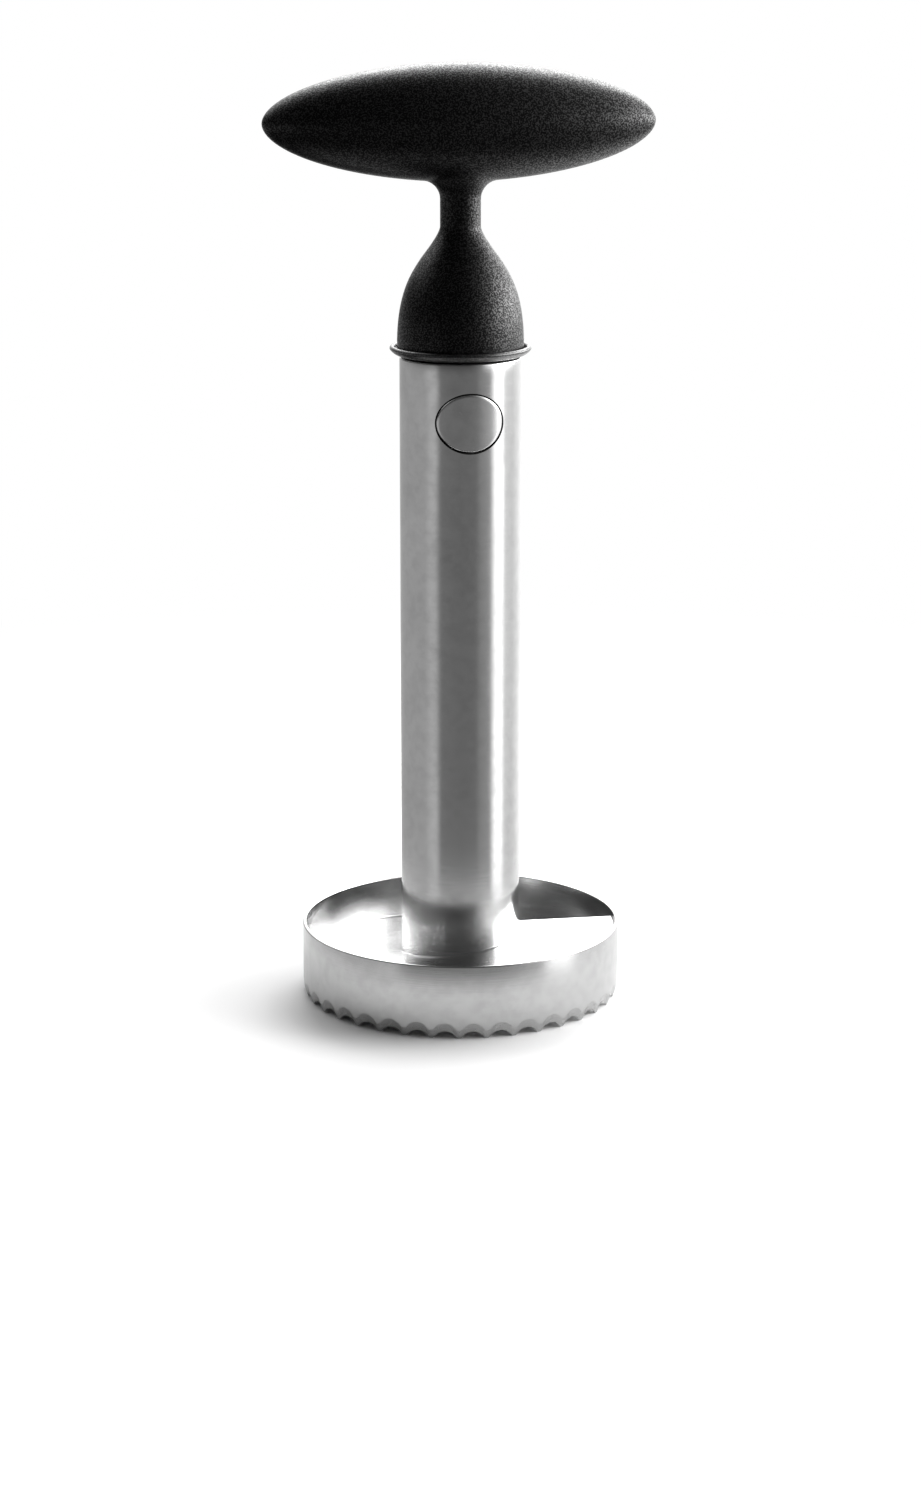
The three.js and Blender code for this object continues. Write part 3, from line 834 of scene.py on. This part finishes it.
def toothed_ring(steel, ground):
    """Ring with a rounded upper edge and a ground, toothed lower edge"""
    size = bpy.context.scene.slicer_steel
    outer = ring_high.x
    inner = outer - size.ring_wall
    high = ring_high.z
    turns = np.arange(RING_COLUMNS) * 2 * np.pi / RING_COLUMNS
    edge = ring_low.z + toothed_edge(
        turns, size.ring_teeth, size.ring_chord, size.ring_depth, outer
    )
    round_ = size.ring_wall * RING_ROUND
    rows = [(inner + size.edge, edge), (outer, edge + size.bevel * RING_BEVEL)]
    rows += [(outer, high * RING_WAIST)]
    rows += list(arc((outer - round_, high - round_), round_, 0, np.pi / 2, RIM_STEPS))
    rows += list(arc((inner + round_, high - round_), round_, np.pi / 2, np.pi, RIM_STEPS))
    rows += [(inner, high * RING_WAIST), (inner, edge)]
    points = np.array(
        [
            np.stack(
                np.broadcast_arrays(radius * np.cos(turns), radius * np.sin(turns), height),
                axis=-1,
            )
            for radius, height in rows
        ]
    )
    faces = grid(numbered(points.shape[:2]), wrap_rows=True, wrap_columns=True)
    marked = np.repeat(np.arange(len(rows)), RING_COLUMNS) == 0
    return add_piece(
        "toothed_ring",
        points.reshape(-1, 3),
        faces,
        [steel, ground],
        "cutter",
        ["cutting_ring"],
        marked,
    )


BEVEL_STEPS = 8
TURN_STEPS = 240
SCALLOP_COLUMNS = 12
WELD_COLUMNS = 5
WELD_BITE = 0.00003
WELD_RISE = 0.7


def spiral(steel, ground):
    """One turn of blade, welded along both sides, with a scalloped and ground leading edge"""
    size = bpy.context.scene.slicer_steel
    inner = tube_high.x - WELD_BITE
    outer = ring_high.x - size.ring_wall + WELD_BITE
    gap = blade_high.x - (ring_high.x - size.ring_wall)
    start, end = tube_high.x - gap, outer - WELD_BITE + gap
    columns = np.concatenate(
        [
            np.linspace(inner, inner + size.weld, WELD_COLUMNS),
            np.linspace(start, end, size.scallops * SCALLOP_COLUMNS + 1)[2:-2],
            np.linspace(outer - size.weld, outer, WELD_COLUMNS),
        ]
    )
    columns = np.unique(np.round(columns, 8))
    near = np.clip(np.minimum(columns - inner, outer - columns) / size.weld, 0, 1)
    flare = size.weld * (1 - np.sqrt(1 - (1 - near) ** 2)) * WELD_RISE
    scallop = (end - start) / size.scallops
    offset = (np.mod((columns - start) / scallop, 1) - 0.5) * scallop
    depth = notch(offset, scallop - size.scallop_land, size.scallop_depth)
    depth = np.where((columns > start) & (columns < end), depth, 0)
    rings = []
    bevel = size.blade_bevel
    whole = 2 * np.pi
    for step in range(BEVEL_STEPS + TURN_STEPS + 1):
        part = min(step / BEVEL_STEPS, 1)
        ground_turn = depth / columns + bevel * part
        rest = max(step - BEVEL_STEPS, 0) / TURN_STEPS
        turns = ground_turn + (whole - ground_turn) * rest
        low = blade_low.z + size.pitch * turns / whole
        thick = size.edge + (size.blade - size.edge) * part
        bulge = flare * part
        layers = [(columns, turns, low - bulge), (columns, turns, low + thick + bulge)]
        (r, t, z), (r2, t2, z2) = layers
        loop = np.concatenate(
            [
                np.stack([r * np.cos(t), r * np.sin(t), z], axis=-1),
                np.stack([r2 * np.cos(t2), r2 * np.sin(t2), z2], axis=-1)[::-1],
            ]
        )
        rings.append(loop)
    points = np.array(rings)
    numbers = numbered(points.shape[:2])
    wide = len(columns)
    ends = [np.stack([row[:wide], row[:wide - 1:-1]]) for row in numbers[[0, -1]]]
    around = grid(numbers, wrap_columns=True)
    faces = np.vstack([around, grid(ends[0]), grid(ends[1])])
    at_row = np.repeat(np.arange(len(numbers) - 1), 2 * wide)
    at_column = np.tile(np.arange(2 * wide), len(numbers) - 1)
    marked = np.zeros(len(faces), bool)
    marked[: len(around)] = (at_row < BEVEL_STEPS) & (at_column >= wide)
    return add_piece(
        "spiral_turn",
        points.reshape(-1, 3),
        faces,
        [steel, ground],
        "cutter",
        ["spiral_blade"],
        marked,
    )


BUTTON_SIDES = 112
FACE_STEPS = 14
CHAMFER_STEPS = 4


def oval_button(steel, gap_shade):
    """Oval button with a crowned face and a softened chamfer"""
    size = bpy.context.scene.slicer_steel
    middle = (button_low.z + button_high.z) / 2
    wide, tall = button_high.x, (button_high.z - button_low.z) / 2
    face, back = button_low.y, button_high.y
    turns = np.arange(BUTTON_SIDES) * 2 * np.pi / BUTTON_SIDES
    rings = []

    def ring(inset, part, deeper):
        x = (wide - inset) * part * np.cos(turns)
        z = (tall - inset) * part * np.sin(turns) + middle
        crown = face + size.crown - np.sqrt(size.crown**2 - x**2)
        rings.append(np.stack([x, np.maximum(crown + deeper, face), z], axis=-1))

    chamfer = size.button_chamfer
    for part in np.linspace(0, 1, FACE_STEPS + 1):
        ring(chamfer, part, 0)
    for turn in np.linspace(0, np.pi / 2, CHAMFER_STEPS + 1)[1:]:
        drop = size.button_chamfer_drop * (1 - np.cos(turn))
        ring(chamfer * (1 - np.sin(turn)), 1, drop)
    for part in (1, 0.5, 0):
        ring(0, part, 0)
        rings[-1][:, 1] = back
    points = np.array(rings)
    faces = grid(numbered(points.shape[:2]), wrap_columns=True)
    # the button's side and back take the painted gap shade
    at_ring = np.repeat(np.arange(len(rings) - 1), BUTTON_SIDES)
    return add_piece(
        "oval_button",
        points.reshape(-1, 3),
        faces,
        [steel, gap_shade],
        "button",
        ["button_cap"],
        at_ring >= FACE_STEPS + CHAMFER_STEPS,
    )


TURN_COLUMNS = 40
WIRE_SIDES = 14
CLOSE_TURN = 1.1


def coil_spring(finish):
    """Coil spring with close end turns; the share of its length that the button's stroke would leave is
    worked out but not used
    """
    size = bpy.context.scene.slicer_steel
    wire = size.spring_wire / 2
    radius = (spring_high.x - spring_low.x) / 2 - wire
    middle = (spring_low.z + spring_high.z) / 2
    last = size.spring_turns
    turns = np.linspace(0, last, last * TURN_COLUMNS + 1)
    reach = spring_high.y - spring_low.y - 2 * wire
    close = size.spring_wire * CLOSE_TURN
    along = np.interp(turns, [0, 1, last - 1, last], [0, close, reach - close, reach])
    cos, sin = np.cos(2 * np.pi * turns), np.sin(2 * np.pi * turns)
    out = np.stack([cos, 0 * turns, sin], axis=-1)
    centre = radius * out + (0, spring_low.y + wire, middle)
    centre[:, 1] += along
    ahead = np.gradient(centre, axis=0)
    ahead /= np.linalg.norm(ahead, axis=1, keepdims=True)
    across = np.cross(ahead, out)
    sides = np.arange(WIRE_SIDES)[None, :, None] * 2 * np.pi / WIRE_SIDES
    section = np.cos(sides) * out[:, None] + np.sin(sides) * across[:, None]
    skin = centre[:, None] + wire * section
    caps = centre[[0, -1], None].repeat(WIRE_SIDES, axis=1)
    points = np.concatenate([caps[:1], skin, caps[1:]])
    spring = add_piece(
        "coil_spring",
        points.reshape(-1, 3),
        grid(numbered(points.shape[:2]), wrap_columns=True),
        [finish],
        "handle",
        ["button_spring"],
    )
    low, high = next(
        joint["range_m"] for joint in frame["joints"] if joint["name"] == "button_press"
    )
    keep = 1 - (high - low) / (spring_high.y - spring_low.y)
    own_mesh(spring)


# Operators


def refinish(node, finish):
    """A CAD node keeps its shape and takes a finish"""
    mesh = frame["nodes"][node].data
    mesh.materials.clear()
    mesh.materials.append(finish)


class SLICER_OT_handle(bpy.types.Operator):
    """Make the two moulded shells of the T-handle and its collar"""

    bl_idname = "slicer.handle"
    bl_label = "Handle"

    def execute(self, context):
        looks = context.scene.slicer_finishes
        tone, rough = looks.plastic, looks.plastic_rough
        glint = looks.plastic_glint
        black = grained_plastic("black_plastic", tone, rough, looks.plastic_sheen, glint)
        grip_shell("grip_front", "grip_front_shell", -1, black)
        grip_shell("grip_rear", "grip_rear_shell", 1, black)
        smooth = grained_plastic("collar_plastic", tone, rough * 0.8, looks.collar_sheen, glint)
        collar(smooth)
        return {"FINISHED"}


class SLICER_OT_cutter(bpy.types.Operator):
    """Make the steel tube, the toothed ring and the spiral blade"""

    bl_idname = "slicer.cutter"
    bl_label = "Cutter"

    def execute(self, context):
        looks = context.scene.slicer_finishes
        tone, rough = looks.steel, looks.steel_rough
        round_steel = satin_steel("satin_steel", tone, rough, (0, 0, 3500, 0))
        flat_steel = satin_steel("satin_blade", tone, rough + 0.05, (0, 0, 0, 7000))
        ground = ground_steel("ground_edge", tone, rough + 0.08)
        # painted shade for the gap round the button
        gap_shade = painted_shade_finish("shaded_gap", looks.shaded_gap, 0.6)
        steel_tube(round_steel, ground, gap_shade)
        toothed_ring(round_steel, ground)
        spiral(flat_steel, ground)
        return {"FINISHED"}


class SLICER_OT_button(bpy.types.Operator):
    """Make the oval steel button and its spring, and finish its slide"""

    bl_idname = "slicer.button"
    bl_label = "Button"

    def execute(self, context):
        looks = context.scene.slicer_finishes
        face = satin_steel(
            "button_steel", looks.button_steel, looks.button_rough, (3000, 0, 3000, 0)
        )
        # the button's side takes the painted gap shade
        oval_button(face, bpy.data.materials["shaded_gap"])
        refinish("button_plunger", moulded_plastic("slide_plastic", looks.moulding, 0.5))
        coil_spring(cast_metal("spring_wire", looks.fastener, 0.3))
        return {"FINISHED"}


class SLICER_OT_inner(bpy.types.Operator):
    """Finish the plug, its cap and screws, and the handle's core"""

    bl_idname = "slicer.inner"
    bl_label = "Plug and core"

    def execute(self, context):
        looks = context.scene.slicer_finishes
        moulding = moulded_plastic("plug_plastic", looks.moulding, 0.45)
        refinish("tube_plug", moulding)
        refinish("plug_end_cap", moulding)
        fastener = cast_metal("screw_steel", looks.fastener, 0.35)
        refinish("plug_screw_left", fastener)
        refinish("plug_screw_right", fastener)
        refinish("grip_core", cast_metal("core_alloy", looks.alloy, 0.5))
        return {"FINISHED"}


# Levels of the studio's walls, by degrees from the camera, in bands from below to the top

BELOW_SKY = [
    (-180, 0.05),
    (40, 0.05),
    (80, 0.8),
    (110, 2.0),
    (150, 2.0),
    (172, 0.8),
    (180, 0.2),
]
LOWER_SKY = [
    (-180, 1.2),
    (-170, 0.6),
    (-150, 0.46),
    (-70, 0.47),
    (-58, 0.6),
    (-48, 0.6),
    (-38, 0.22),
    (0, 0.19),
    (30, 0.2),
    (38, 0.3),
    (58, 0.36),
    (70, 1.9),
    (87, 1.9),
    (93, 0.9),
    (116, 0.85),
    (135, 1.1),
    (152, 1.3),
    (180, 1.2),
]
UPPER_SKY = [
    (-180, 2.2),
    (-170, 1.6),
    (-155, 0.5),
    (-135, 0.12),
    (-110, 0.05),
    (-40, 0.04),
    (18, 0.05),
    (40, 0.2),
    (62, 2.4),
    (84, 4.5),
    (120, 4.5),
    (150, 2.4),
    (180, 2.2),
]
TOP_SKY = [
    (-180, 2.6),
    (-150, 2.6),
    (-120, 1.3),
    (-90, 0.3),
    (-60, 0.1),
    (20, 0.05),
    (50, 0.3),
    (80, 0.9),
    (100, 1.4),
    (125, 3.2),
    (160, 3.2),
    (180, 2.6),
]
SKY_PEAK = 4.5
ZENITH = 0.08
FLOOR_REACH = 3.0
SENSOR_WIDTH = 36


def add_area(name, place, aim, wide, tall, power):
    """A lamp in a rectangle that faces aim, which the camera doesn't see"""
    light = bpy.data.lights.new(name, "AREA")
    light.shape = "RECTANGLE"
    light.size, light.size_y = wide, tall
    light.energy = power
    lamp = bpy.data.objects.new(name, light)
    bpy.context.scene.collection.objects.link(lamp)
    lamp.location = place
    lamp.rotation_euler = (Vector(aim) - Vector(place)).to_track_quat("-Z", "Y").to_euler()
    lamp.visible_camera = False


class SLICER_OT_stage(bpy.types.Operator):
    """Make the camera, the pale floor, the studio's walls of light and its lamps"""

    bl_idname = "slicer.stage"
    bl_label = "Stage"

    def execute(self, context):
        studio = context.scene.slicer_studio
        self.camera(context, studio)
        self.sky(context, studio)
        self.floor(studio)
        self.lamps(studio)
        return {"FINISHED"}

    def camera(self, context, studio):
        lens = bpy.data.cameras.new("camera")
        lens.lens = studio.lens
        lens.sensor_width = SENSOR_WIDTH
        camera = bpy.data.objects.new("camera", lens)
        context.scene.collection.objects.link(camera)
        turn = studio.azimuth
        camera.location = (
            studio.distance * math.sin(turn),
            -studio.distance * math.cos(turn),
            studio.height,
        )
        camera.rotation_euler = (math.pi / 2 - studio.pitch, 0, turn)
        context.scene.camera = camera

    def sky(self, context, studio):
        world = bpy.data.worlds.new("studio")
        world.use_nodes = True
        context.scene.world = world
        shades = Shades(world.node_tree)
        direction = shades.node("TexCoord", {}, {}, "Generated")
        x, y, z = shades.axes(direction)
        cos, sin = math.cos(studio.azimuth), math.sin(studio.azimuth)
        ahead = x * sin - y * cos
        right = x * cos + y * sin
        turn = right.math("ARCTAN2", ahead) / (2 * math.pi) + 0.5
        light = self.walls(shades, turn, BELOW_SKY)
        light += (self.walls(shades, turn, LOWER_SKY) - light) * z.step(-0.6, -0.36)
        light += (self.walls(shades, turn, UPPER_SKY) - light) * z.step(-0.08, 0.05)
        light += (self.walls(shades, turn, TOP_SKY) - light) * z.step(0.25, 0.5)
        light += (ZENITH - light) * z.step(0.78, 0.97)
        camera = shades.node("LightPath", {}, {}, "Is Camera Ray")
        strength = light + (1 - light) * camera
        sockets = {"Color": (1, 1, 1, 1), "Strength": strength}
        background = shades.node("Background", {}, sockets)
        shades.node("OutputWorld", {}, {"Surface": background})

    @staticmethod
    def walls(shades, turn, band):
        """Level of a band of the studio's walls, whose stops are in degrees from the camera"""
        stops = [(degrees / 360 + 0.5, level / SKY_PEAK) for degrees, level in band]
        return shades.node("ValToRGB", {"stops": stops}, {"Fac": turn}) * SKY_PEAK

    def floor(self, studio):
        reach = FLOOR_REACH
        mesh = bpy.data.meshes.new("floor")
        mesh.from_pydata(
            [(-reach, -reach, 0), (reach, -reach, 0), (reach, reach, 0), (-reach, reach, 0)],
            [],
            [(0, 1, 2, 3)],
        )
        floor = bpy.data.objects.new("floor", mesh)
        bpy.context.scene.collection.objects.link(floor)
        material, shades = new_finish("pale_floor")
        x, y, z = shades.axes(shades.place())
        away = (x * x + y * y) ** 0.5
        camera = shades.node("LightPath", {}, {}, "Is Camera Ray")
        glossy = shades.node("LightPath", {}, {}, "Is Glossy Ray")
        tone = shades.blended(camera, darker(studio.floor, 0.7), studio.floor)
        matte = shades.node("BsdfDiffuse", {}, {"Color": tone})
        white = shades.node("Emission", {}, {"Color": (1, 1, 1, 1), "Strength": 1.0})
        clear = shades.node("BsdfTransparent", {}, {})
        seen = shades.node(
            "MixShader", {}, {"Fac": away.step(0.22, 0.5) * camera, 1: matte, 2: white}
        )
        shown = shades.node(
            "MixShader", {}, {"Fac": away.step(0.08, 0.15) * glossy, 1: seen, 2: clear}
        )
        shades.node("OutputMaterial", {}, {"Surface": shown})
        mesh.materials.append(material)

    def lamps(self, studio):
        cos, sin = math.cos(studio.azimuth), math.sin(studio.azimuth)

        def placed(degrees, away, height):
            """A place by its angle from the camera, its distance from the tube and its height"""
            turn = math.radians(degrees)
            ahead, right = away * math.cos(turn), away * math.sin(turn)
            return (ahead * sin + right * cos, -ahead * cos + right * sin, height)

        add_area("back_softbox", placed(172, 1.2, 1.0), (0, 0, 0.12), 1.0, 0.7, 12)
        add_area("side_softbox", placed(95, 1.2, 0.75), (0, 0, 0.15), 0.7, 0.7, 6)
        add_area("side_card", placed(98, 0.42, 0.245), (0, 0, 0.245), 0.55, 0.17, 1.3)


class SLICER_PT_panel(bpy.types.Panel):
    """Sizes, finishes and steps of the slicer"""

    bl_idname = "SLICER_PT_panel"
    bl_label = "Pineapple Slicer"
    bl_space_type = "VIEW_3D"
    bl_region_type = "UI"
    bl_category = "Slicer"

    def draw(self, context):
        for step in STEPS:
            self.layout.operator(step.bl_idname)
        for group in GROUPS:
            holder = getattr(context.scene, group)
            box = self.layout.box()
            for name in holder.bl_rna.properties.keys():
                if name not in ("rna_type", "name"):
                    box.prop(holder, name)


STEPS = [
    SLICER_OT_cutter,
    SLICER_OT_handle,
    SLICER_OT_button,
    SLICER_OT_inner,
    SLICER_OT_stage,
]
GROUPS = {
    "slicer_handle": SlicerHandleSizes,
    "slicer_steel": SlicerSteelSizes,
    "slicer_finishes": SlicerFinishes,
    "slicer_studio": SlicerStudio,
}


def register():
    for made in (*GROUPS.values(), *STEPS, SLICER_PT_panel):
        bpy.utils.register_class(made)
    for name, group in GROUPS.items():
        setattr(bpy.types.Scene, name, PointerProperty(type=group))


def unregister():
    for name in GROUPS:
        delattr(bpy.types.Scene, name)
    for made in reversed((*GROUPS.values(), *STEPS, SLICER_PT_panel)):
        bpy.utils.unregister_class(made)


def main():
    register()
    bpy.ops.slicer.cutter()
    bpy.ops.slicer.handle()
    bpy.ops.slicer.button()
    bpy.ops.slicer.inner()
    bpy.ops.slicer.stage()
    bpy.context.scene.view_settings.view_transform = "Standard"


if __name__ == "__main__":
    main()
